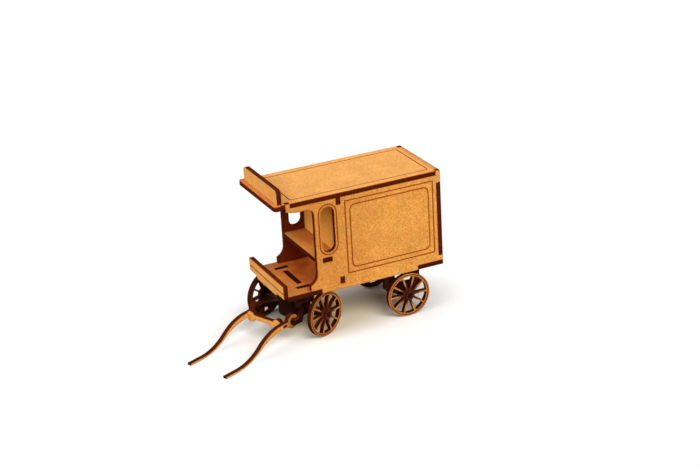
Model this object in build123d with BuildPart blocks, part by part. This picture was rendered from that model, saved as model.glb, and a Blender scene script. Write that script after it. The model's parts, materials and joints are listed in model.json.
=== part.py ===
from build123d import *
import os

os.makedirs("parts", exist_ok=True)

# Board and fits, in millimetres
sheet = 2.0            # thickness of the board every flat piece is cut from
fit = 0.03             # tab to slot, each side
run_gap = 0.15         # between faces that slide past each other
bore_gap = 0.07        # turning hole beyond the corner of the square bar in it
pin_gap = 0.05         # turning hole around the kingpin
line_w = 0.4           # engraved line, width
line_d = 0.25          # engraved line, depth

# Wheels, all four alike
wheel_r = 9.7
wheel_rim = 1.4
wheel_hub_r = 2.7
spoke_w = 0.75
spokes = 10
wheel_gap = 0.6        # wheel top to the underside of the floor
cap_r = 2.0
cap_t = 1.0
axle_w = 4.0

# Body, lengths forward from the rear face and heights from the floor
half_w = 18.0
load_len = 44.0        # inside, rear wall to bulkhead
cab_len = 10.0         # bulkhead to the front edge of the side panels
arm_len = 12.2         # side panels' arms under the roof
brow_gap = 2.2         # roof goes on past the arms before it widens
brow_len = 2.9         # wider front of the roof
brow_over = 0.9
brow_r = 1.4
roof_z = 38.45         # underside of the roof
foot_len = 3.3
foot_top = 2.5
flare_top = 7.2
arm_deep = 2.25
arm_rise = 0.8
arm_r = 3.2
skirt_rear = 12.0
skirt_set = 1.5        # skirt ends behind the side panels' front edge
corner_low = 2.3       # side panels' corners past the rear wall
corner_high = 3.25
wall_tab = 3.0         # bulkhead tabs
wall_tab_z = 0.4
seat_z = 11.45
seat_tab = 4.3
seat_tab_set = 2.7
window_set = 5.9
window_z = 25.6
window_w = 6.0
window_h = 20.0
window_edge = 1.0      # engraved border around the window
panel_set = 3.8        # engraved panel from the rear face, and the roof's line from it
panel_gap = 1.9        # and from the bulkhead
panel_low = 4.35
panel_high = 2.15
panel_in = 2.1         # inner engraved line from the outer one
panel_r = 2.3
roof_edge = 3.5
roof_line_r = 1.0
foot_space = 13.76     # side panels' front edge to the dash
dash_top = 5.0
dash_end_low = -0.6
dash_low = 1.8
dash_step = 8.5
dash_line = 1.7
header_set = 2.0
header_in = 0.9
header_h = 6.2
header_r = 1.8
header_tab = 6.0
header_tab_in = 8.1

# Under-frame
rear_over = 16.9       # rear face behind the rear axle
kingpin_set = 4.0      # kingpin ahead of the side panels' front edge
frame_in = 6.7         # long plates from the outside of the body
frame_rear = 4.0       # plate ends behind and ahead of the kingpin
frame_front = 4.2
frame_tongue = 2.2
frame_tongue_z = 1.3
frame_tab = 5.8
cross_tab_in = 2.8
spring_half = 8.3
spring_up = 1.7        # rear spring plate ends above the axle
spring_sag = 2.8       # and its middle below them
spring_r = 1.6
spring_boss = 3.0
spring_front = 3.4     # open middle of a rear spring plate, ahead of the axle and behind it
spring_rear = 5.2
spring_belly = 3.2     # plate above the axle under the open middle
spring_open_r = 0.8
spring_tab_in = 0.7    # tabs from the ends of the plate's two hangers

# Fore-carriage, as it stands turned to the left
steer_rest = 23.5
turn_r = 6.8
kingpin_r = 1.5
head_r = 3.2
head_t = 1.0
track_in = 0.8         # centre plane of a wheel inside the body's outer face
fork_root = 7.7        # outer edge of a fork arm where it leaves the axle
fork_w = 2.8
prong_w = 2.0          # end of the arm outside the shaft eye
prong_room = 0.3       # eye to the arm behind it
stub_ahead = 13.0      # square stub for a shaft, ahead of the kingpin
stub_over = 1.1        # stub end beyond the shaft eye

# Shafts
shaft_half = 10.15     # centre plane of a shaft from the centre of the fore-carriage
shaft_reach = 53.0     # tip ahead of the kingpin
shaft_flat = 7.0       # straight end lying on the ground
root_len = 6.0         # straight from the eye to where the shaft starts to drop
root_deep = 2.2
root_drop = 0.5        # middle of the root below the middle of the eye
tip_deep = 0.9
belly = 1.0            # lower curve ends this much further forward
eye_wall = 1.6
eye_mouth = 1.8
tie_ahead = 4.8        # cross bar ahead of the eye
tie_high = 2.0
tie_lobe = 2.35
tie_lobe_in = 1.7      # middle of the lobe from the shaft's inner face
tie_drop = 0.5
tie_tab = 1.0

# Places that follow from these
axle_z = wheel_r
floor_low = 2 * wheel_r + wheel_gap
floor_z = floor_low + sheet
inner_w = half_w - sheet
bulkhead_at = sheet + load_len
side_front = bulkhead_at + sheet + cab_len
arm_end = side_front + arm_len
brow_at = arm_end + brow_gap
roof_len = brow_at + brow_len
dash_at = side_front + foot_space
kingpin_at = side_front + kingpin_set
kingpin_x = kingpin_at - rear_over
half_track = half_w - track_in
frame_y = half_w - frame_in
bore_r = sheet / 2 * 2 ** 0.5 + bore_gap
eye_r = bore_r + eye_wall
shoulder = half_track - sheet / 2 - run_gap
cap_in = half_track + sheet / 2 + run_gap
stub_end = cap_in + cap_t
turn_top = axle_z + sheet / 2 + sheet
turn_low = axle_z - sheet / 2 - sheet
frame_low = turn_top + run_gap + sheet
hangers = ((spring_front, spring_half), (-spring_half, -spring_rear))
spring_tabs = [((start + end) / 2, end - start - 2 * spring_tab_in) for start, end in hangers]
body = Plane(origin=(-rear_over, 0, floor_z))
carriage = Plane(origin=(kingpin_x, 0, 0), x_dir=Vector(1, 0, 0).rotate(Axis.Z, steer_rest), z_dir=(0, 0, 1))
sides = {"left": 1, "right": -1}
both = tuple(sides.values())


# Floor board, notched for the skirts and slotted for the plates below
skirt_front = side_front - skirt_set
with BuildPart() as floor:
    with BuildSketch(body.offset(-sheet)):
        with Locations((dash_at / 2, 0)):
            Rectangle(dash_at, 2 * half_w)
        with Locations(*[((skirt_rear + skirt_front) / 2, s * (half_w - sheet / 2)) for s in both]):
            Rectangle(skirt_front - skirt_rear, sheet, mode=Mode.SUBTRACT)
        with Locations(*[(kingpin_at + (frame_front - frame_rear) / 2, s * frame_y) for s in both]):
            Rectangle(frame_tab + 2 * fit, sheet + 2 * fit, mode=Mode.SUBTRACT)
        with Locations((kingpin_at, 0)):
            cross_tab = 2 * (frame_y - sheet / 2 - cross_tab_in)
            Rectangle(sheet + 2 * fit, cross_tab + 2 * fit, mode=Mode.SUBTRACT)
        for tab_x, tab_l in spring_tabs:
            with Locations(*[(rear_over + tab_x, s * frame_y) for s in both]):
                Rectangle(tab_l + 2 * fit, sheet + 2 * fit, mode=Mode.SUBTRACT)
    extrude(amount=sheet)
floor.part.label = "floor"
export_step(floor.part, "parts/floor.step")

# Side panels: flared foot, window, arm under the roof, engraved lines on the outer face
corner_top = roof_z - corner_high
arm_z = roof_z - arm_deep
foot_front = side_front + foot_len
arm_root = side_front + arm_r
seat_tab_at = side_front - seat_tab_set - seat_tab / 2
lower_tab = wall_tab_z + wall_tab / 2
upper_tab = roof_z - wall_tab / 2
panel_l = bulkhead_at - panel_gap - panel_set
panel_h = roof_z - panel_high - panel_low
panel_mid = (panel_set + panel_l / 2, panel_low + panel_h / 2)
for name, s in sides.items():
    wall = Plane(origin=(-rear_over, s * inner_w, floor_z), x_dir=(1, 0, 0), z_dir=(0, -1, 0))
    with BuildPart() as side:
        with BuildSketch(wall):
            with BuildLine():
                Polyline((foot_front, foot_top), (foot_front, 0), (skirt_front, 0), (skirt_front, -sheet),
                         (skirt_rear, -sheet), (skirt_rear, 0), (0, 0), (0, corner_low), (sheet, corner_low),
                         (sheet, corner_top), (0, corner_top), (0, roof_z + sheet), (sheet, roof_z + sheet),
                         (sheet, roof_z), (arm_end - sheet, roof_z), (arm_end - sheet, roof_z + sheet),
                         (arm_end, roof_z + sheet), (arm_end, arm_z + arm_rise))
                ThreePointArc((arm_end, arm_z + arm_rise), ((arm_root + arm_end) / 2, arm_z - arm_rise / 4),
                              (arm_root, arm_z))
                TangentArc((side_front, arm_z - arm_r), (arm_root, arm_z), tangent=(0, 1))
                Line((side_front, arm_z - arm_r), (side_front, flare_top))
                TangentArc((side_front, flare_top), (foot_front, foot_top), tangent=(0, -1))
            make_face()
            with Locations((side_front - window_set, window_z)):
                SlotOverall(window_h, window_w, rotation=90, mode=Mode.SUBTRACT)
            with Locations((bulkhead_at + sheet / 2, lower_tab), (bulkhead_at + sheet / 2, upper_tab)):
                Rectangle(sheet + 2 * fit, wall_tab + 2 * fit, mode=Mode.SUBTRACT)
            with Locations((seat_tab_at, seat_z + sheet / 2)):
                Rectangle(seat_tab + 2 * fit, sheet + 2 * fit, mode=Mode.SUBTRACT)
        extrude(amount=-s * sheet)
        with BuildSketch(wall.offset(-s * (sheet - line_d))):
            with Locations(panel_mid):
                Rectangle(panel_l + line_w, panel_h + line_w)
                Rectangle(panel_l - line_w, panel_h - line_w, mode=Mode.SUBTRACT)
                inner_l = panel_l - 2 * panel_in
                inner_h = panel_h - 2 * panel_in
                RectangleRounded(inner_l + line_w, inner_h + line_w, panel_r + line_w / 2)
                RectangleRounded(inner_l - line_w, inner_h - line_w, panel_r - line_w / 2, mode=Mode.SUBTRACT)
            with Locations((side_front - window_set, window_z)):
                border_h = window_h + 2 * window_edge
                border_w = window_w + 2 * window_edge
                SlotOverall(border_h + line_w, border_w + line_w, rotation=90)
                SlotOverall(border_h - line_w, border_w - line_w, rotation=90, mode=Mode.SUBTRACT)
        extrude(amount=-s * line_d, mode=Mode.SUBTRACT)
    side.part.label = f"side_{name}"
    export_step(side.part, f"parts/side_{name}.step")

# Rear wall, its edges showing between the side panels' corners
with BuildPart() as rear_wall:
    with BuildSketch(Plane(origin=(-rear_over, 0, floor_z), x_dir=(0, 1, 0), z_dir=(1, 0, 0))):
        with Locations((0, roof_z / 2)):
            Rectangle(2 * inner_w, roof_z)
        with Locations((0, (corner_low + corner_top) / 2)):
            Rectangle(2 * half_w, corner_top - corner_low - 2 * fit)
    extrude(amount=sheet)
rear_wall.part.label = "rear_wall"
export_step(rear_wall.part, "parts/rear_wall.step")

# Bulkhead between the load space and the driver, tabs out through the side panels
with BuildPart() as bulkhead:
    with BuildSketch(Plane(origin=(bulkhead_at - rear_over, 0, floor_z), x_dir=(0, 1, 0), z_dir=(1, 0, 0))):
        with Locations((0, roof_z / 2)):
            Rectangle(2 * inner_w, roof_z)
        with Locations((0, lower_tab), (0, upper_tab)):
            Rectangle(2 * half_w, wall_tab)
    extrude(amount=sheet)
bulkhead.part.label = "bulkhead"
export_step(bulkhead.part, "parts/bulkhead.step")

# Seat plank
with BuildPart() as seat:
    with BuildSketch(body.offset(seat_z)):
        with Locations((bulkhead_at + sheet + cab_len / 2, 0)):
            Rectangle(cab_len, 2 * inner_w)
        with Locations((seat_tab_at, 0)):
            Rectangle(seat_tab, 2 * half_w)
    extrude(amount=sheet)
seat.part.label = "seat"
export_step(seat.part, "parts/seat.step")

# Roof board with its brow, notches, header slots and engraved line
header_at = roof_len - header_set - sheet
header_half = half_w - header_in
header_tab_y = header_half - header_tab_in
with BuildPart() as roof:
    with BuildSketch(body.offset(roof_z)):
        with Locations(((brow_at + roof_len) / 2, 0)):
            brow = Rectangle(brow_len, 2 * (half_w + brow_over))
        fillet(brow.vertices().group_by(Axis.X)[-1], brow_r)
        with Locations((brow_at / 2, 0)):
            Rectangle(brow_at, 2 * half_w)
        notches = [(x, s * (half_w - sheet / 2)) for x in (sheet / 2, arm_end - sheet / 2) for s in both]
        with Locations(*notches):
            Rectangle(sheet, sheet, mode=Mode.SUBTRACT)
        with Locations(*[(header_at + sheet / 2, s * header_tab_y) for s in both]):
            Rectangle(sheet + 2 * fit, header_tab + 2 * fit, mode=Mode.SUBTRACT)
    extrude(amount=sheet)
    with BuildSketch(body.offset(roof_z + sheet - line_d)):
        roof_l = arm_end - 2 * panel_set
        roof_w = 2 * (half_w - roof_edge)
        with Locations((arm_end / 2, 0)):
            RectangleRounded(roof_l + line_w, roof_w + line_w, roof_line_r + line_w / 2)
            RectangleRounded(roof_l - line_w, roof_w - line_w, roof_line_r - line_w / 2, mode=Mode.SUBTRACT)
    extrude(amount=line_d, mode=Mode.SUBTRACT)
roof.part.label = "roof"
export_step(roof.part, "parts/roof.step")

# Header board standing in the roof
with BuildPart() as header_board:
    header_foot = (header_at - rear_over, 0, floor_z + roof_z + sheet)
    roof_top = Plane(origin=header_foot, x_dir=(0, 1, 0), z_dir=(1, 0, 0))
    with BuildSketch(roof_top):
        with Locations((0, header_h / 2)):
            board = Rectangle(2 * header_half, header_h)
        fillet(board.vertices().group_by(Axis.Y)[-1], header_r)
        with Locations(*[(s * header_tab_y, -sheet / 2) for s in both]):
            Rectangle(header_tab, sheet)
    extrude(amount=sheet)
header_board.part.label = "header_board"
export_step(header_board.part, "parts/header_board.step")

# Dash board across the front of the floor, deeper in the middle, one engraved line
with BuildPart() as dash:
    dash_back = Plane(origin=(dash_at - rear_over, 0, floor_z), x_dir=(0, 1, 0), z_dir=(1, 0, 0))
    with BuildSketch(dash_back):
        with BuildLine():
            dash_mid = half_w - dash_step
            Polyline((0, dash_top), (half_w, dash_top), (half_w, dash_end_low),
                     (dash_mid + dash_low, dash_end_low), (dash_mid, -dash_low), (0, -dash_low))
            mirror(about=Plane.YZ)
        make_face()
    extrude(amount=sheet)
    with BuildSketch(dash_back.offset(sheet - line_d)):
        with Locations((0, dash_line)):
            Rectangle(2 * half_w, line_w)
    extrude(amount=line_d, mode=Mode.SUBTRACT)
dash.part.label = "dash"
export_step(dash.part, "parts/dash.step")

# Front under-frame: two long plates with a front tongue, one cross plate, tabs up through the floor
frame_h = floor_low - frame_low
frame_x = (frame_front - frame_rear) / 2
for name, s in sides.items():
    with BuildPart() as front_plate:
        with BuildSketch(Plane(origin=(kingpin_x, s * frame_y, floor_low), x_dir=(1, 0, 0), z_dir=(0, -1, 0))):
            with Locations((frame_x, -frame_h / 2)):
                Rectangle(frame_rear + frame_front, frame_h)
            with Locations((frame_x, sheet / 2)):
                Rectangle(frame_tab, sheet)
            with Locations((frame_front - frame_tongue / 2, -frame_h - frame_tongue_z / 2)):
                Rectangle(frame_tongue, frame_tongue_z)
        extrude(amount=sheet / 2, both=True)
    front_plate.part.label = f"front_plate_{name}"
    export_step(front_plate.part, f"parts/front_plate_{name}.step")

with BuildPart() as front_cross:
    with BuildSketch(Plane(origin=(kingpin_x - sheet / 2, 0, floor_low), x_dir=(0, 1, 0), z_dir=(1, 0, 0))):
        with Locations((0, -frame_h / 2)):
            Rectangle(2 * frame_y - sheet, frame_h)
        with Locations((0, sheet / 2)):
            Rectangle(cross_tab, sheet)
    extrude(amount=sheet)
front_cross.part.label = "front_cross"
export_step(front_cross.part, "parts/front_cross.step")

# Turntable disc fixed below the frame, and the headed kingpin that holds the fore-carriage up to it
with BuildPart() as turntable_fixed:
    with BuildSketch(Plane(origin=(kingpin_x, 0, frame_low - sheet))):
        Circle(turn_r)
        Circle(kingpin_r + fit, mode=Mode.SUBTRACT)
    extrude(amount=sheet)
turntable_fixed.part.label = "turntable_fixed"
export_step(turntable_fixed.part, "parts/turntable_fixed.step")

head_z = turn_low - run_gap - head_t
with BuildPart() as kingpin:
    with BuildSketch(Plane(origin=(kingpin_x, 0, head_z))):
        Circle(head_r)
    extrude(amount=head_t)
    with BuildSketch(Plane(origin=(kingpin_x, 0, head_z))):
        Circle(kingpin_r)
    extrude(amount=frame_low - head_z)
kingpin.part.label = "kingpin"
export_step(kingpin.part, "parts/kingpin.step")

# Rear spring plates: two hangers, an open middle, the rear axle in a boss below it
spring_h = floor_low - axle_z - spring_up
open_h = floor_low - axle_z - spring_belly
for name, s in sides.items():
    with BuildPart() as rear_spring:
        with BuildSketch(Plane(origin=(0, s * frame_y, floor_low), x_dir=(1, 0, 0), z_dir=(0, -1, 0))):
            with BuildLine():
                Polyline((spring_half, -spring_h), (spring_half, 0), (-spring_half, 0),
                         (-spring_half, -spring_h))
                ThreePointArc((-spring_half, -spring_h), (0, -spring_h - spring_sag), (spring_half, -spring_h))
            plate = make_face()
            fillet(plate.vertices().group_by(Axis.Y)[0], spring_r)
            with Locations(((spring_front - spring_rear) / 2, 0)):
                RectangleRounded(spring_front + spring_rear, 2 * open_h, spring_open_r, mode=Mode.SUBTRACT)
            for tab_x, tab_l in spring_tabs:
                with Locations((tab_x, sheet / 2)):
                    Rectangle(tab_l, sheet)
            with Locations((0, axle_z - floor_low)):
                Circle(spring_boss)
                Rectangle(axle_w + 2 * fit, sheet + 2 * fit, mode=Mode.SUBTRACT)
        extrude(amount=sheet / 2, both=True)
    rear_spring.part.label = f"rear_spring_{name}"
    export_step(rear_spring.part, f"parts/rear_spring_{name}.step")

# Rear axle, a flat bar with square stubs for the wheels
with BuildPart() as rear_axle:
    with BuildSketch(Plane(origin=(0, 0, axle_z - sheet / 2))):
        Rectangle(axle_w, 2 * shoulder)
        Rectangle(sheet, 2 * stub_end)
    extrude(amount=sheet)
rear_axle.part.label = "rear_axle"
export_step(rear_axle.part, "parts/rear_axle.step")

# Fore-carriage: front axle and its fork cut in one piece, between two discs
prong_in = shaft_half + sheet / 2 + run_gap
prong_out = prong_in + prong_w
prong_end = stub_ahead + sheet / 2
fork_end = stub_ahead - eye_r - prong_room
stub_in = shaft_half - sheet / 2 - stub_over
with BuildPart() as front_axle:
    with BuildSketch(carriage.offset(axle_z - sheet / 2)):
        Circle(turn_r)
        Rectangle(axle_w, 2 * shoulder)
        Rectangle(sheet, 2 * stub_end)
        with BuildLine():
            Polyline((axle_w / 2, fork_root - fork_w), (fork_end, prong_out - fork_w), (fork_end, prong_in),
                     (prong_end - sheet, prong_in), (prong_end - sheet, stub_in), (prong_end, stub_in),
                     (prong_end, prong_out), (fork_end, prong_out), (axle_w / 2, fork_root), close=True)
        make_face()
        mirror(about=Plane.XZ)
        Circle(kingpin_r + pin_gap, mode=Mode.SUBTRACT)
    extrude(amount=sheet)
front_axle.part.label = "front_axle"
export_step(front_axle.part, "parts/front_axle.step")

discs = {"turntable_upper": axle_z + sheet / 2, "turntable_lower": turn_low}
for name, z in discs.items():
    with BuildPart() as disc:
        with BuildSketch(carriage.offset(z)):
            Circle(turn_r)
            Circle(kingpin_r + pin_gap, mode=Mode.SUBTRACT)
        extrude(amount=sheet)
    disc.part.label = name
    export_step(disc.part, f"parts/{name}.step")

# Wheels and the caps that hold them on their stubs
corners = {"front_left": (carriage, 1), "front_right": (carriage, -1),
           "rear_left": (Plane.XY, 1), "rear_right": (Plane.XY, -1)}
spoke_len = wheel_r - wheel_rim / 2 - wheel_hub_r / 2
for name, (base, s) in corners.items():
    mid = Plane(origin=base.from_local_coords((0, s * half_track, axle_z)), x_dir=base.x_dir,
                z_dir=base.y_dir * s)
    with BuildPart() as wheel:
        with BuildSketch(mid):
            Circle(wheel_r)
            Circle(wheel_r - wheel_rim, mode=Mode.SUBTRACT)
            with PolarLocations(wheel_hub_r / 2 + spoke_len / 2, spokes):
                Rectangle(spoke_len, spoke_w)
            Circle(wheel_hub_r)
            Circle(bore_r, mode=Mode.SUBTRACT)
        extrude(amount=sheet / 2, both=True)
    wheel.part.label = f"wheel_{name}"
    export_step(wheel.part, f"parts/wheel_{name}.step")
    with BuildPart() as cap:
        with BuildSketch(mid.offset(cap_in - half_track)):
            Circle(cap_r)
            Rectangle(sheet + 2 * fit, sheet + 2 * fit, mode=Mode.SUBTRACT)
        extrude(amount=cap_t)
    cap.part.label = f"cap_{name}"
    export_step(cap.part, f"parts/cap_{name}.step")

# Shafts: open eye hooked on a stub of the fork, S-curve down to a tapered end lying on the ground
root_x = stub_ahead + bore_r + eye_wall / 3
bend_x = shaft_reach - shaft_flat
tie_x = stub_ahead + tie_ahead
tie_z = axle_z - tie_drop
root_z = axle_z - root_drop
drop_x = stub_ahead + root_len
edges = (((drop_x, root_z + root_deep / 2), (bend_x, tip_deep)),
         ((drop_x, root_z - root_deep / 2), (bend_x + belly, 0)))
for name, s in sides.items():
    upright = Plane(origin=carriage.from_local_coords((0, s * shaft_half, 0)), x_dir=carriage.x_dir,
                    z_dir=carriage.y_dir * -1)
    with BuildPart() as shaft:
        with BuildSketch(upright):
            with BuildLine():
                for start, end in edges:
                    Line((root_x, start[1]), start)
                    half_way = ((start[0] + end[0]) / 2, (start[1] + end[1]) / 2)
                    drop = TangentArc(start, half_way, tangent=(1, 0))
                    TangentArc(half_way, end, tangent=drop % 1)
                    Line(end, (shaft_reach, end[1]))
                Line((root_x, edges[0][0][1]), (root_x, edges[1][0][1]))
                Line((shaft_reach, tip_deep), (shaft_reach, 0))
            make_face()
            with Locations((stub_ahead, axle_z)):
                Circle(eye_r)
                Circle(bore_r, mode=Mode.SUBTRACT)
            with Locations((stub_ahead - eye_r / 2, axle_z)):
                Rectangle(eye_r, eye_mouth, mode=Mode.SUBTRACT)
            with Locations((tie_x, tie_z)):
                Rectangle(sheet + 2 * fit, tie_tab + 2 * fit, mode=Mode.SUBTRACT)
        extrude(amount=sheet / 2, both=True)
    shaft.part.label = f"shaft_{name}"
    export_step(shaft.part, f"parts/shaft_{name}.step")

# Cross bar between the shafts, a round lobe at each end
with BuildPart() as shaft_tie:
    with BuildSketch(Plane(origin=carriage.from_local_coords((tie_x, 0, tie_z)), x_dir=carriage.y_dir,
                           z_dir=carriage.x_dir)):
        Rectangle(2 * shaft_half - sheet, tie_high)
        with Locations(*[(s * (shaft_half - sheet / 2 - tie_lobe_in), 0) for s in both]):
            Circle(tie_lobe)
        Rectangle(2 * shaft_half - sheet, 2 * tie_lobe, mode=Mode.INTERSECT)
        Rectangle(2 * shaft_half + sheet, tie_tab)
    extrude(amount=sheet / 2, both=True)
shaft_tie.part.label = "shaft_tie"
export_step(shaft_tie.part, "parts/shaft_tie.step")
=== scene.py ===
# %% [markdown]
# # A laser-cut model of a delivery wagon
# The real thing is a small kit: flat pieces of 2 mm fibreboard, cut and engraved by a laser,
# then glued together tab into slot.
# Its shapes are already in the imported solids, which load as a fixed frame in metres.
# What is left for Blender is what the laser does to the board: tan faces, charred edges, scorched lines.

# %% Load the frame
import bpy
import json
import math
from mathutils import Matrix, Vector


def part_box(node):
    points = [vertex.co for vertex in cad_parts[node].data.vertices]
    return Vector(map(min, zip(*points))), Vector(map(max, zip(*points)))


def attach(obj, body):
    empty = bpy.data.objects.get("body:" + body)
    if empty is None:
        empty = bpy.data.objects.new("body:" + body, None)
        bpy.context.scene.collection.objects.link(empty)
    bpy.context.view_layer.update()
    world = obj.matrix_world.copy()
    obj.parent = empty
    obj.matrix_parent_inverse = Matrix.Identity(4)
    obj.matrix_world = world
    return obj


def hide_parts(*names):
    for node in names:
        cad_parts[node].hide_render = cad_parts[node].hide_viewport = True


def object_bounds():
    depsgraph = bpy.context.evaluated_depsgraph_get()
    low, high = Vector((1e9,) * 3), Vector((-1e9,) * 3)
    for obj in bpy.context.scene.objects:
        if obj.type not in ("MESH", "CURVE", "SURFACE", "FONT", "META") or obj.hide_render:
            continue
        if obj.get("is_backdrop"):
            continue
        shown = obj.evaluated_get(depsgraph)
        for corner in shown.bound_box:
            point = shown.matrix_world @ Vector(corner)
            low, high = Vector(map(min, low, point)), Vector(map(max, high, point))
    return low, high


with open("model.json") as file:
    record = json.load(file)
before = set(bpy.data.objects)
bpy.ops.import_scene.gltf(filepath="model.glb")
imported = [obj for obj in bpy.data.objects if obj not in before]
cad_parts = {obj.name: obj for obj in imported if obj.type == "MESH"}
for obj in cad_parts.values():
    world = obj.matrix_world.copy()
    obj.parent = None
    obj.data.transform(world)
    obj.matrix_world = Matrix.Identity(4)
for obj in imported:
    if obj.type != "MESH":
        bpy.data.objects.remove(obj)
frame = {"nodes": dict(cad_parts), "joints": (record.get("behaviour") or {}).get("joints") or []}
cad_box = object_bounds()
mm = 0.001
print("solids loaded:", len(frame["nodes"]), "box in mm:", [[round(v / mm, 2) for v in c] for c in cad_box])

# %% [markdown]
# ## The camera
# The photograph looks down on the wagon's left front corner through a long lens, from about three quarters
# of a metre away.
# A camera can be aimed by eye, or solved from points whose places are known on both picture and model.
# It was solved here, so the matrix is written down as it came out: where right, down and forward point.

# %% Camera at the photograph's view
eye = Vector((291.259, 603.188, 313.079)) * mm
right = Vector((-0.899612618, 0.433316976, -0.054162132))
down = Vector((0.212914296, 0.326944914, -0.920746722))
forward = Vector((-0.381267151, -0.839847261, -0.386383149))
focal_px, image_px = 1701.856, 700

lens = bpy.data.cameras.new("photo_view")
lens.sensor_fit = "HORIZONTAL"
lens.sensor_width = 36
lens.lens = lens.sensor_width * focal_px / image_px
lens.clip_start = 0.01
camera = bpy.data.objects.new("photo_view", lens)
bpy.context.collection.objects.link(camera)
turned = Matrix((right, -down, -forward)).transposed().to_4x4()
camera.matrix_world = Matrix.Translation(eye) @ turned
bpy.context.scene.camera = camera
print("camera", round(eye.length, 3), "m from the rear axle, lens", round(lens.lens, 1), "mm")

# %% [markdown]
# ## Helpers
# Colours are given as sRGB, while the renderer adds light in linear values: one function converts.
# Node trees are long to write by hand, so one more function adds a node, sets it and links it in a single line.
# Some nodes keep sockets that their settings have switched off, under the same names. Only those in use count.

# %% Colours and nodes
def linear(code):
    """An sRGB hex colour as linear red, green, blue and a full alpha."""
    parts = [int(code[i:i + 2], 16) / 255 for i in (1, 3, 5)]
    return tuple(p / 12.92 if p <= 0.04045 else ((p + 0.055) / 1.055) ** 2.4 for p in parts) + (1.0,)


def wire(node, inputs):
    """Sets inputs by name or place: to a value, to an output, or to a node, meaning its first output in use."""
    for key, value in inputs.items():
        if isinstance(key, int):
            socket = node.inputs[key]
        else:
            socket = next(s for s in node.inputs if s.enabled and s.name == key)
        if isinstance(value, bpy.types.Node):
            value = next(s for s in value.outputs if s.enabled)
        if isinstance(value, bpy.types.NodeSocket):
            node.id_data.links.new(value, socket)
        else:
            socket.default_value = value


def add(tree, kind, inputs=None, **settings):
    """One node with its settings, values and links."""
    node = tree.nodes.new(kind)
    for key, value in settings.items():
        setattr(node, key, value)
    wire(node, inputs or {})
    return node


print("tan board in linear light:", [round(v, 3) for v in linear("#E6A655")])

# %% [markdown]
# ## Floor and light
# The paper is white to the camera and throws less light back up at the wagon. Away from the wagon it glows
# white to the camera, as if lit through from below on a light table, so the shadow stays near the wheels.
# Near the wheels a cream tint is painted on it, drawn by a patch round the middle of the wagon: painted warm
# light, as if thrown down by the tan board.

# %% What the camera sees
def seen_directly(tree):
    """1 for what the camera sees, straight or in gloss or glass, and 0 for light on its way round the room."""
    ray = add(tree, "ShaderNodeLightPath")
    mirrored = add(tree, "ShaderNodeMath", {0: ray.outputs["Is Camera Ray"], 1: ray.outputs["Is Glossy Ray"]},
                   operation="MAXIMUM")
    return add(tree, "ShaderNodeMath", {0: mirrored, 1: ray.outputs["Is Transmission Ray"]},
               operation="MAXIMUM")


scene = bpy.context.scene
scene.view_settings.view_transform = "Standard"
print("view transform:", scene.view_settings.view_transform)

# %% White paper
paper_tooth = 8 * mm
patch_middle, patch_x, patch_y = 28 * mm, 65 * mm, 40 * mm
bounce_until, clean_from, lit_from = 0.25, 0.6, 1.0  # shares of the patch

paper = bpy.data.materials.new("matt white paper")
paper.use_nodes = True
tree = paper.node_tree
here = add(tree, "ShaderNodeTexCoord").outputs["Object"]
direct = seen_directly(tree)
tooth = add(tree, "ShaderNodeTexNoise", {"Vector": here, "Scale": 1 / paper_tooth, "Detail": 3.0})
around = add(tree, "ShaderNodeMapping", {"Vector": here, "Location": (-patch_middle / patch_x, 0, 0),
                                         "Scale": (1 / patch_x, 1 / patch_y, 0)})
away = add(tree, "ShaderNodeVectorMath", {0: around}, operation="LENGTH")
# Painted bounce: the cream #EEDFC0 near the wagon stands in for warm light thrown down by the tan board
painted_bounce = add(tree, "ShaderNodeMapRange", {"Value": away, "From Min": bounce_until, "From Max": clean_from})
fade = add(tree, "ShaderNodeMapRange", {"Value": away, "From Min": clean_from, "From Max": lit_from},
           interpolation_type="SMOOTHSTEP")
clean = add(tree, "ShaderNodeMix", {"Factor": tooth, "A": linear("#FBFAF7"), "B": linear("#FFFFFD")},
            data_type="RGBA")
shade = add(tree, "ShaderNodeMix", {"Factor": painted_bounce, "A": linear("#EEDFC0"), "B": clean}, data_type="RGBA")
white = add(tree, "ShaderNodeMix", {"Factor": direct, "A": linear("#7A6748"), "B": shade}, data_type="RGBA")
glow = add(tree, "ShaderNodeMath", {0: fade, 1: direct}, operation="MULTIPLY")
lit = add(tree, "ShaderNodeMix", {"Factor": glow, "A": white, "B": linear("#000000")}, data_type="RGBA")
wire(tree.nodes["Principled BSDF"], {"Base Color": lit, "Roughness": 0.9, "Specular IOR Level": 0.1,
                                     "Emission Color": linear("#FFFFFF"), "Emission Strength": glow})
print("paper:", paper.name, "with", len(tree.nodes), "nodes")

# %% Paper on the table
half_side = 3.0
corners = [(-half_side, -half_side, 0), (half_side, -half_side, 0),
           (half_side, half_side, 0), (-half_side, half_side, 0)]
paper_mesh = bpy.data.meshes.new("paper_floor")
paper_mesh.from_pydata(corners, [], [(0, 1, 2, 3)])
paper_mesh.materials.append(paper)
floor = bpy.data.objects.new("paper_floor", paper_mesh)
bpy.context.collection.objects.link(floor)
floor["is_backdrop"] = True
print("paper", 2 * half_side, "m square")

# %% [markdown]
# Two broad soft lights stand well above the table, one beside the wagon and one ahead of it.
# They miss the driver's place under the roof and the space under the floor, dark in the photograph too.
# Area lamps this close would leave the far paper grey. Distant lamps with a wide disc are as soft and light it
# evenly.
# The room itself gives little light, a warm one, but is seen as white.

# %% Two soft lamps and a room
# Where each lamp is seen from the wagon, its strength, and how many degrees it is across
lamps = {"beside": ((-0.05, 0.78, 0.63), 2.95, 40), "ahead": ((0.82, 0.05, 0.57), 2.1, 50)}
room_light = 0.12
for name, (towards, strength, spread) in lamps.items():
    light = bpy.data.lights.new(name, "SUN")
    light.energy = strength
    light.angle = math.radians(spread)
    lamp = bpy.data.objects.new(name, light)
    lamp.rotation_euler = (-Vector(towards)).to_track_quat("-Z", "Y").to_euler()
    bpy.context.collection.objects.link(lamp)

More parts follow.
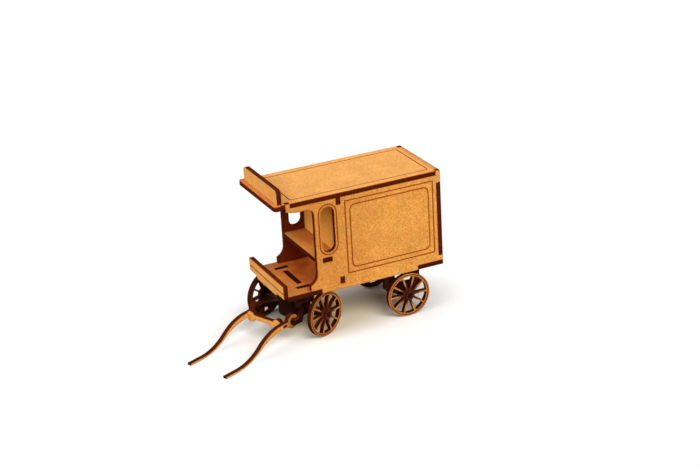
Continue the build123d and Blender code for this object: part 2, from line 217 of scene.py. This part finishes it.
room = bpy.data.worlds.new("white room")
room.use_nodes = True
scene.world = room
tree = room.node_tree
direct = seen_directly(tree)
level = add(tree, "ShaderNodeMapRange", {"Value": direct, "To Min": room_light, "To Max": 1.0})
tint = add(tree, "ShaderNodeMix", {"Factor": direct, "A": linear("#FFD9A8"), "B": linear("#FFFFFF")},
           data_type="RGBA")
wire(tree.nodes["Background"], {"Color": tint, "Strength": level})
print("lamps:", list(lamps), "in a", room.name)

# %% [markdown]
# ## Laser-cut fibreboard
# MDF is wood fibre pressed with resin: a smooth tan face with fine lighter and darker flecks and no grain.
# Two noises draw it, one for the fibres and one for broad patches. Some boards get a paler tone painted on, as
# painted light and sheen.
# Flecks are drawn at 0.7 mm, coarser than real fibres, so that they still show with the whole wagon in view.

# %% The pressed face
fleck, mottle = 0.7 * mm, 7 * mm
tans = {0.30: "#D27E33", 0.43: "#E79B45", 0.55: "#EEA951", 0.70: "#F6BF76"}


def pressed_face(tree, at, painted_light):
    """The face's colour, and the noises of its fibres and patches.
    The painted light is a pale tone, and how far the tan leans to it: light and sheen painted onto the face."""
    fibres = add(tree, "ShaderNodeTexNoise", {"Vector": at, "Scale": 1 / fleck, "Detail": 3.0,
                                              "Roughness": 0.65})
    patches = add(tree, "ShaderNodeTexNoise", {"Vector": at, "Scale": 1 / mottle, "Detail": 2.0})
    tan = add(tree, "ShaderNodeValToRGB", {"Fac": fibres})
    stops = tan.color_ramp.elements
    while len(stops) < len(tans):
        stops.new(0.5)
    for stop, (spot, code) in zip(stops, tans.items()):
        stop.position = spot
        stop.color = Vector(linear(code)).lerp(Vector(linear(painted_light[0])), painted_light[1])
    patch = add(tree, "ShaderNodeMapRange", {"Value": patches, "From Min": 0.3, "From Max": 0.7,
                                             "To Min": 0.90, "To Max": 1.06})
    face = add(tree, "ShaderNodeMix", {"Factor": 1.0, "A": tan, "B": patch},
               data_type="RGBA", blend_type="MULTIPLY")
    return face, fibres, patches


print("flecks", round(fleck / mm, 2), "mm, patches", round(mottle / mm, 2), "mm")

# %% [markdown]
# The laser burns its way through, and its smoke settles on the face beside the cut.
# A Bevel node rounds the normal near an edge, so how far it leans from the true one says how near the cut is.
# Beyond the rim, more brown is laid along lines in space: painted shade in the cab's corners, round the shaft
# hooks and round the hubs, and darker strips on the roof and the sides.
# Each is a line, so its distance from the point being drawn is all that has to be worked out.

# %% Smoke on a face
soot_reach, soot = 0.75 * mm, 1.2
true_lean, rim_lean = 0.995, 0.80  # dot of both normals on the open face, and at its rim


def smoke_and_shade_on(tree, at, patches, toast_and_shade, stains_and_shade):
    """How much smoke and painted shade lie on a face: an even amount all over, more smoke along its rim, and
    more round each line given. A line is a point, an axis through it, its reach and its amount of brown."""
    bare = add(tree, "ShaderNodeNewGeometry")
    soft = add(tree, "ShaderNodeBevel", {"Radius": soot_reach}, samples=6)
    lean = add(tree, "ShaderNodeVectorMath", {0: bare.outputs["Normal"], 1: soft}, operation="DOT_PRODUCT")
    rim = add(tree, "ShaderNodeMapRange", {"Value": lean, "From Min": true_lean, "From Max": rim_lean,
                                           "To Min": toast_and_shade, "To Max": toast_and_shade + soot})
    smoke_and_shade = add(tree, "ShaderNodeMath", {0: rim, 1: patches}, operation="MULTIPLY")
    for point, axis, reach, amount in stains_and_shade:
        arm = add(tree, "ShaderNodeVectorMath", {0: at, 1: point}, operation="SUBTRACT")
        swept = add(tree, "ShaderNodeVectorMath", {0: arm, 1: axis}, operation="CROSS_PRODUCT")
        off = add(tree, "ShaderNodeVectorMath", {0: swept}, operation="LENGTH")
        near = add(tree, "ShaderNodeMapRange", {"Value": off, "From Min": reach, "From Max": reach / 2,
                                                "To Max": amount})
        smoke_and_shade = add(tree, "ShaderNodeMath", {0: smoke_and_shade, 1: near})
    return smoke_and_shade


print("soot reaches", round(soot_reach / mm, 2), "mm in from a cut")

# %% [markdown]
# Every cut edge is char, streaked from face to face along the way the beam went.
# Taking most of the way along the beam out of a point's place, before noise is read there, draws the noise out.

# %% Streaks along the beam
streak, drawn_out = 0.45 * mm, 0.9


def beam_streaks(tree, at, through):
    """Noise drawn out along the beam, and how far along it a point lies."""
    depth = add(tree, "ShaderNodeVectorMath", {0: at, 1: through}, operation="DOT_PRODUCT")
    most = add(tree, "ShaderNodeMath", {0: depth, 1: drawn_out}, operation="MULTIPLY")
    shift = add(tree, "ShaderNodeVectorMath", {0: through, "Scale": most}, operation="SCALE")
    drawn = add(tree, "ShaderNodeVectorMath", {0: at, 1: shift}, operation="SUBTRACT")
    streaks = add(tree, "ShaderNodeTexNoise", {"Vector": drawn, "Scale": 1 / streak, "Detail": 2.0})
    return streaks, depth


print("streaks", round(streak / mm, 2), "mm wide and", round(1 / (1 - drawn_out)), "times as long")

# %% [markdown]
# The board's own direction tells face from edge: what looks along the thickness is face, and the rest is a cut.
# An engraved line is a face that lies a little lower than the rest, so its depth below the face picks it out.
# Small pieces are brown all over, with smoke and with painted shade for the shade they stand in, and the back
# of a sheet is darkened with painted shade.

# %% The board's finish
face_limit, deep_soot_and_shade = 0.75, 0.8
line_top, line_floor = 0.02 * mm, 0.30 * mm


def laser_cut_mdf(name, through, engraved_at=None, toast_and_shade=0.0, back=0.0, burn_and_shade=0.1, smoke_and_shade_tone="#7C3412",
                  stains_and_shade=(), painted_light=("#FFDDB0", 0.0)):
    """Fibreboard whose thickness runs along through. engraved_at is where its engraved face lies along that.
    Its toast is how far smoke and painted shade brown all of it, its back how much painted shade darkens its
    back face, and its burn how black its edges are, with char and painted shade."""
    finish = bpy.data.materials.new("laser-cut MDF, " + name)
    finish.use_nodes = True
    tree = finish.node_tree
    place = add(tree, "ShaderNodeTexCoord")
    at = place.outputs["Object"]
    face, fibres, patches = pressed_face(tree, at, painted_light)
    streaks, depth = beam_streaks(tree, at, through)

    # Front, back or edge: 1, -1 or about 0 along the thickness
    facing = add(tree, "ShaderNodeVectorMath", {0: place.outputs["Normal"], 1: through},
                 operation="DOT_PRODUCT")
    square = add(tree, "ShaderNodeMath", {0: facing}, operation="ABSOLUTE")
    flat = add(tree, "ShaderNodeMath", {0: square, 1: face_limit}, operation="GREATER_THAN")
    behind = add(tree, "ShaderNodeMath", {0: facing, 1: -face_limit}, operation="LESS_THAN")

    # Smoke and painted shade brown the face, and where they lie thick the face is nearly black
    smoke_and_shade = smoke_and_shade_on(tree, at, patches, toast_and_shade, stains_and_shade)
    smoke_and_shade = add(tree, "ShaderNodeMath", {0: behind, 1: back, 2: smoke_and_shade}, operation="MULTIPLY_ADD")
    thick = add(tree, "ShaderNodeMath", {0: smoke_and_shade, 1: deep_soot_and_shade}, operation="SUBTRACT")
    brown = add(tree, "ShaderNodeMix", {"Factor": smoke_and_shade, "A": face, "B": linear(smoke_and_shade_tone)},
                data_type="RGBA")
    stained_and_shaded = add(tree, "ShaderNodeMix", {"Factor": thick, "A": brown, "B": linear("#33140A")},
                  data_type="RGBA")

    # Char on the cut edge, streaked dark brown to black, and blacker with painted shade on pieces that stand in
    # shade
    scorch = add(tree, "ShaderNodeMix", {"Factor": streaks, "A": linear("#2C0D03"), "B": linear("#6E2704")},
                 data_type="RGBA")
    char_and_shade = add(tree, "ShaderNodeMix", {"Factor": burn_and_shade, "A": scorch, "B": linear("#150806")}, data_type="RGBA")
    colour = add(tree, "ShaderNodeMix", {"Factor": flat, "A": char_and_shade, "B": stained_and_shaded}, data_type="RGBA")

    # Engraved line: a burnt brown floor just under the face, darkened with the edges' painted shade
    if engraved_at is not None:
        below = add(tree, "ShaderNodeMath", {0: engraved_at, 1: depth}, operation="SUBTRACT")
        sunk = add(tree, "ShaderNodeMath", {0: below, 1: (line_floor + line_top) / 2,
                                            2: (line_floor - line_top) / 2}, operation="COMPARE")
        singed = add(tree, "ShaderNodeMix", {"Factor": streaks, "A": linear("#8E2A00"), "B": linear("#BC4A00")},
                     data_type="RGBA")
        burnt_and_shaded = add(tree, "ShaderNodeMix", {"Factor": burn_and_shade, "A": singed, "B": linear("#30100A")},
                    data_type="RGBA")
        colour = add(tree, "ShaderNodeMix", {"Factor": sunk, "A": colour, "B": burnt_and_shaded}, data_type="RGBA")

    # The pressed face is satin; char is dull and scored
    satin = add(tree, "ShaderNodeMapRange", {"Value": fibres, "To Min": 0.50, "To Max": 0.70})
    rough = add(tree, "ShaderNodeMix", {"Factor": flat, "A": 0.85, "B": satin})
    relief = add(tree, "ShaderNodeMix", {"Factor": flat, "A": streaks, "B": fibres})
    bump = add(tree, "ShaderNodeBump", {"Strength": 0.35, "Distance": 0.06 * mm, "Height": relief})
    wire(tree.nodes["Principled BSDF"], {"Base Color": colour, "Roughness": rough, "Normal": bump,
                                         "Specular IOR Level": 0.05})
    return finish


print("engraved:", round(line_top / mm, 2), "to", round(line_floor / mm, 2), "mm below the face")

# %% [markdown]
# ## Which way each board lies
# A flat piece has one direction through its thickness, and that is most of what its finish needs to know.
# The fore-carriage stands turned to the left, so its plates have two slanted directions of their own.
# Its front axle gives them: the wheels roll about it, and the shafts point across it.

# %% Directions and stains
up, left, front = (0, 0, 1), (0, 1, 0), (1, 0, 0)
joints = {joint["name"]: joint for joint in frame["joints"]}
aside = tuple(joints["front_left_roll"]["axis"])
ahead = tuple(Vector(aside).cross(Vector(up)))

hook, hook_axis = joints["shaft_lift"]["pos_m"], joints["shaft_lift"]["axis"]
# Painted shade round the shaft hooks, which stand in shade under the floor's front; the far one deeper.
near_eye_shade = (hook, hook_axis, 5 * mm, 0.6)
far_eye_shade = (hook, hook_axis, 5 * mm, 1.5)
bulkhead_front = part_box("bulkhead")[1][0]
floor_top, seat_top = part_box("floor")[1][2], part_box("seat")[1][2]
# Painted shade in the cab's corners, where the floor and the seat meet the bulkhead.
foot_corner_shade = ((bulkhead_front, 0, floor_top), left, 22 * mm, 0.5)
seat_corner_shade = ((bulkhead_front, 0, seat_top), left, 10 * mm, 0.35)
print("fore-carriage turned", round(math.degrees(math.atan2(ahead[1], ahead[0])), 1), "degrees to the left")

# %% Finish the plain boards
# The under-frame is browned and blackened both by smoke and by painted shade, for the shade it stands in under
# the body.
sooty_and_shaded = {"toast_and_shade": 3.6, "burn_and_shade": 0.9}
capped = {"toast_and_shade": 2.5, "burn_and_shade": 0.6}
# The floor and seat are browned all over and redder, with darker char: painted shade, for the dim warm light
# under the roof.
painted_cab_shade = {"smoke_and_shade_tone": "#A0420F", "burn_and_shade": 0.4}
plain_boards = {
    "floor board": (up, ["floor"], {"toast_and_shade": 0.65, "stains_and_shade": [foot_corner_shade], **painted_cab_shade}),
    "seat plank": (up, ["seat"], {"toast_and_shade": 0.5, "stains_and_shade": [seat_corner_shade], **painted_cab_shade}),
    "level under-frame": (up, ["rear_axle", "front_axle", "turntable_fixed", "turntable_upper",
                               "turntable_lower"], sooty_and_shaded),
    "lengthwise under-frame": (left, ["front_plate_left", "front_plate_right", "rear_spring_left",
                                      "rear_spring_right"], sooty_and_shaded),
    "crosswise under-frame": (front, ["front_cross"], sooty_and_shaded),
    "rear wall": (front, ["rear_wall"], {}),
    # Header board and bulkhead get a paler tone: painted light on their fronts, which the lamps leave too dark.
    "header board": (front, ["header_board"], {"painted_light": ("#FFC878", 0.35)}),
    "bulkhead": (front, ["bulkhead"], {"painted_light": ("#FFB850", 0.5)}),
    "left shaft": (aside, ["shaft_left"], {"burn_and_shade": 0.35, "stains_and_shade": [near_eye_shade]}),
    "right shaft": (aside, ["shaft_right"], {"burn_and_shade": 0.35, "stains_and_shade": [far_eye_shade]}),
    "shaft cross bar": (ahead, ["shaft_tie"], {"burn_and_shade": 0.35}),
    "rear hub caps": (left, ["cap_rear_left", "cap_rear_right"], capped),
    "front hub caps": (aside, ["cap_front_left", "cap_front_right"], capped),
}


def dress(name, finish):
    """Puts a finish on a solid, in place of the plain one that it was loaded with."""
    slots = frame["nodes"][name].data.materials
    slots.clear()
    slots.append(finish)


for name, (through, boards, marks_and_shade) in plain_boards.items():
    finish = laser_cut_mdf(name, through, **marks_and_shade)
    for board in boards:
        dress(board, finish)
    print(finish.name, "on", len(boards))

# %% [markdown]
# The roof, the two sides and the dash carry engraved lines, all on the face that looks outwards.
# The roof is browner in a strip along the rear edge and on the brow ahead of the header board.
# The sides are browner towards the doorway, and darker all over inside with painted shade.

# %% Finish the engraved boards
roof_low, roof_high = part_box("roof")
roof_rear = ((roof_low[0], 0, roof_high[2]), left, 2.6 * mm, 0.4)
brow = ((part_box("header_board")[1][0], 0, roof_high[2]), left, 3.8 * mm, 0.5)
doorway = ((48 * mm, 0, 0), up, 44 * mm, 0.27)
# The roof's paler tone is a painted sheen.
roof_marks_and_sheen = {"smoke_and_shade_tone": "#A0420A", "stains_and_shade": [roof_rear, brow], "painted_light": ("#FFDDB0", 0.1)}
# The sides' inner faces are darkened with painted shade, for the dim light inside the cab.
side_marks_and_shade = {"smoke_and_shade_tone": "#A0420A", "stains_and_shade": [doorway], "back": 1.12}
# The dash's paler tone is painted light, as if thrown up from the paper.
dash_painted_light = {"painted_light": ("#FFBC6A", 0.5)}
engraved_boards = {"roof": (up, roof_marks_and_sheen), "side_left": (left, side_marks_and_shade),
                   "side_right": ((0, -1, 0), side_marks_and_shade), "dash": (front, dash_painted_light)}
for name, (out, marks_and_shade) in engraved_boards.items():
    outer = max(v.co.dot(Vector(out)) for v in frame["nodes"][name].data.vertices)
    dress(name, laser_cut_mdf(name.replace("_", " ") + ", engraved", out, engraved_at=outer, **marks_and_shade))
    print(name, "engraved face at", round(outer / mm, 2), "mm")

# %% [markdown]
# ## The wheels
# Each wheel is one disc of board: a rim, ten thin spokes and a hub left standing between ten cut-out windows.
# On its outer face the laser has drawn one more fine circle round the rim.
# The shape is a rule, so a node tree makes it: one window's outline, turned round the hub and cut from a disc.
# The solids carry the same wheel without the circle, which would cost them many faces. This one stands for it.

# %% A tree that cuts a wheel
spokes = 10
wheel_sizes = {"Rim Radius": 9.7, "Rim Width": 1.4, "Hub Radius": 2.7, "Bore Radius": 1.484,
               "Spoke Width": 0.75, "Board": 2.0, "Line Radius": 9.0, "Line Width": 0.4,
               "Line Depth": 0.2}  # millimetres
wheel_tree = bpy.data.node_groups.new("spoked_wheel", "GeometryNodeTree")
knobs = {}
for label in wheel_sizes:
    knobs[label] = wheel_tree.interface.new_socket(label, in_out="INPUT", socket_type="NodeSocketFloat")
knobs["Spokes"] = wheel_tree.interface.new_socket("Spokes", in_out="INPUT", socket_type="NodeSocketInt")
knobs["Finish"] = wheel_tree.interface.new_socket("Finish", in_out="INPUT", socket_type="NodeSocketMaterial")
wheel_tree.interface.new_socket("Wheel", in_out="OUTPUT", socket_type="NodeSocketGeometry")
given = wheel_tree.nodes.new("NodeGroupInput").outputs
print("wheel tree inputs:", list(knobs))

# %% [markdown]
# A window is drawn as a ring of points: the first half lies on an arc under the rim, and the second half comes
# back round the hub. The straight runs that join the two arcs are the sides of the spokes, and lie parallel to
# their middles.

# %% One window's outline
arc_points = 9
tree = wheel_tree
ring = add(tree, "GeometryNodeCurvePrimitiveCircle", {"Resolution": 2 * arc_points})
index = add(tree, "GeometryNodeInputIndex")
on_rim = add(tree, "ShaderNodeMath", {0: index, 1: arc_points - 0.5}, operation="LESS_THAN")
step = add(tree, "ShaderNodeMath", {0: index, 1: arc_points}, operation="MODULO")
there = add(tree, "ShaderNodeMath", {0: step, 1: arc_points - 1}, operation="DIVIDE")
back = add(tree, "ShaderNodeMath", {0: 1.0, 1: there}, operation="SUBTRACT")
way = add(tree, "ShaderNodeMix", {"Factor": on_rim, "A": back, "B": there})
under_rim = add(tree, "ShaderNodeMath", {0: given["Rim Radius"], 1: given["Rim Width"]}, operation="SUBTRACT")
radius = add(tree, "ShaderNodeMix", {"Factor": on_rim, "A": given["Hub Radius"], "B": under_rim})
half_spoke = add(tree, "ShaderNodeMath", {0: given["Spoke Width"], 1: 2.0}, operation="DIVIDE")
spoke_sine = add(tree, "ShaderNodeMath", {0: half_spoke, 1: radius}, operation="DIVIDE")
start = add(tree, "ShaderNodeMath", {0: spoke_sine}, operation="ARCSINE")
pitch = add(tree, "ShaderNodeMath", {0: 2 * math.pi, 1: given["Spokes"]}, operation="DIVIDE")
end = add(tree, "ShaderNodeMath", {0: pitch, 1: start}, operation="SUBTRACT")
angle = add(tree, "ShaderNodeMix", {"Factor": way, "A": start, "B": end})
across = add(tree, "ShaderNodeMath", {0: angle}, operation="COSINE")
rise = add(tree, "ShaderNodeMath", {0: angle}, operation="SINE")
heading = add(tree, "ShaderNodeCombineXYZ", {"X": across, "Y": rise})
spot = add(tree, "ShaderNodeVectorMath", {0: heading, "Scale": radius}, operation="SCALE")
window = add(tree, "GeometryNodeSetPosition", {"Geometry": ring, "Position": spot})
print("window outline:", 2 * arc_points, "points")

# %% [markdown]
# One window is set on the hub as often as there are spokes, each turned on by one more step.
# Rim, bore and the two sides of the fine circle are plain circles, with points enough to look round.

# %% All the outlines
rim_points, bore_points = 120, 48
hub_points = add(tree, "GeometryNodePoints", {"Count": given["Spokes"]})
count = add(tree, "GeometryNodeInputIndex")
turn = add(tree, "ShaderNodeMath", {0: count, 1: pitch}, operation="MULTIPLY")
turned_by = add(tree, "ShaderNodeCombineXYZ", {"Z": turn})
turned_windows = add(tree, "GeometryNodeInstanceOnPoints", {"Points": hub_points, "Instance": window,
                                                            "Rotation": turned_by})
windows = add(tree, "GeometryNodeRealizeInstances", {"Geometry": turned_windows})
line_half = add(tree, "ShaderNodeMath", {0: given["Line Width"], 1: 2.0}, operation="DIVIDE")
line_out = add(tree, "ShaderNodeMath", {0: given["Line Radius"], 1: line_half})
line_in = add(tree, "ShaderNodeMath", {0: given["Line Radius"], 1: line_half}, operation="SUBTRACT")
rim, bore, outer, inner = (
    add(tree, "GeometryNodeCurvePrimitiveCircle", {"Resolution": points, "Radius": size})
    for points, size in ((rim_points, given["Rim Radius"]), (bore_points, given["Bore Radius"]),
                         (rim_points, line_out), (rim_points, line_in)))
print("circles of", rim_points, "and", bore_points, "points")

# %% [markdown]
# Filling closed outlines that lie inside one another leaves the inner ones open, so rim, bore and windows go in
# together. Pushing that face up by the board's thickness makes the wheel, and a flipped copy closes it below.
# The fine circle is a flat ring made the same way and cut out of the top.

# %% Fill, thicken and engrave
weld = 0.001 * mm
slabs = []
for outlines in ((rim, bore, windows), (outer, inner)):
    drawn = add(tree, "GeometryNodeJoinGeometry")
    for outline in outlines:
        wire(drawn, {"Geometry": outline})
    filled = add(tree, "GeometryNodeFillCurve", {"Curve": drawn})
    raised = add(tree, "GeometryNodeExtrudeMesh", {"Mesh": filled, "Offset": (0, 0, 1),
                                                   "Offset Scale": given["Board"], "Individual": False})
    under = add(tree, "GeometryNodeFlipFaces", {"Mesh": filled})
    closed = add(tree, "GeometryNodeJoinGeometry")
    for skin in (raised, under):
        wire(closed, {"Geometry": skin})
    slabs.append(add(tree, "GeometryNodeMergeByDistance", {"Geometry": closed, "Distance": weld}))
blank, groove = slabs
lift = add(tree, "ShaderNodeMath", {0: given["Board"], 1: given["Line Depth"]}, operation="SUBTRACT")
lifted_by = add(tree, "ShaderNodeCombineXYZ", {"Z": lift})
cutter = add(tree, "GeometryNodeTransform", {"Geometry": groove, "Translation": lifted_by})
cut = add(tree, "GeometryNodeMeshBoolean", {"Mesh 1": blank, "Mesh 2": cutter}, operation="DIFFERENCE")
whole = add(tree, "GeometryNodeRealizeInstances", {"Geometry": cut})
finished = add(tree, "GeometryNodeSetMaterial", {"Geometry": whole, "Material": given["Finish"]})
add(tree, "NodeGroupOutput", {"Wheel": finished})
print("wheel tree nodes:", len(tree.nodes))

# %% [markdown]
# Each wheel turns on its own body, so each gets its own mesh, with its engraved face looking outwards.
# The joints already say where the hub is and which way the axle points.

# %% Four wheels
half_board = wheel_sizes["Board"] / 2 * mm
crease = math.radians(30)
# The wheels are browned by smoke and by painted shade: darker char, inner faces darkened with painted shade,
# and painted shade round the hub where the spokes close in.
wheel_marks_and_shade = {"toast_and_shade": 0.75, "back": 1.1, "burn_and_shade": 0.6, "smoke_and_shade_tone": "#8E4A30"}
for joint in frame["joints"]:
    if not joint["name"].endswith("_roll"):
        continue
    name = "wheel_" + joint["name"].removesuffix("_roll")
    hub = Vector(joint["pos_m"])
    out = Vector(joint["axis"]) * (1 if "left" in name else -1)
    finish = laser_cut_mdf(name.replace("_", " "), tuple(out), engraved_at=hub.dot(out) + half_board,
                           stains_and_shade=[(hub, out, 5.5 * mm, 1.15)], **wheel_marks_and_shade)
    holder = bpy.data.objects.new(name + "_cut", bpy.data.meshes.new(name))
    bpy.context.collection.objects.link(holder)
    maker = holder.modifiers.new("cut", "NODES")
    maker.node_group = wheel_tree
    for label, size in wheel_sizes.items():
        maker[knobs[label].identifier] = size * mm
    maker[knobs["Spokes"].identifier] = spokes
    maker[knobs["Finish"].identifier] = finish
    made = holder.evaluated_get(bpy.context.evaluated_depsgraph_get())
    disc = bpy.data.meshes.new_from_object(made)
    holder.modifiers.clear()
    upright = Matrix((Vector(up).cross(out), up, out)).transposed().to_4x4()
    disc.transform(Matrix.Translation(hub) @ upright @ Matrix.Translation((0, 0, -half_board)))
    disc.shade_smooth()
    disc.set_sharp_from_angle(angle=crease)
    disc.materials.clear()  # the cut leaves an empty slot beside the finish
    disc.materials.append(finish)
    holder.data = disc
    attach(holder, joint["child"])
    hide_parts(name)
    print(name, len(disc.polygons), "faces,", finish.name)

# %% [markdown]
# ## The kingpin
# A short headed dowel turned from birch holds the fore-carriage up to the body, and shows only from underneath.
# Its grain runs along its length, so the noise that draws it is stretched upright.

# %% Turned birch
grain_width, grain_squeeze = 0.4 * mm, 0.08
dowel = bpy.data.materials.new("turned birch dowel")
dowel.use_nodes = True
tree = dowel.node_tree
here = add(tree, "ShaderNodeTexCoord").outputs["Object"]
stretch = add(tree, "ShaderNodeMapping", {"Vector": here, "Scale": (1.0, 1.0, grain_squeeze)})
grain = add(tree, "ShaderNodeTexNoise", {"Vector": stretch, "Scale": 1 / grain_width, "Detail": 4.0})
tone = add(tree, "ShaderNodeMix", {"Factor": grain, "A": linear("#C39A66"), "B": linear("#E3C596")},
           data_type="RGBA")
dull = add(tree, "ShaderNodeMapRange", {"Value": grain, "To Min": 0.45, "To Max": 0.65})
ridge = add(tree, "ShaderNodeBump", {"Strength": 0.3, "Distance": 0.04 * mm, "Height": grain})
wire(tree.nodes["Principled BSDF"], {"Base Color": tone, "Roughness": dull, "Normal": ridge})
dress("kingpin", dowel)
print("kingpin:", dowel.name)

# %% [markdown]
# ## Sizes
# The box of the dressed wagon is set beside the box of its solids, and how far they differ is printed.

# %% Sizes of both boxes
visual_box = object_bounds()
growth = max(abs(a - b) for i in (0, 1) for a, b in zip(cad_box[i], visual_box[i]))
print("boxes differ by", growth / mm, "mm")
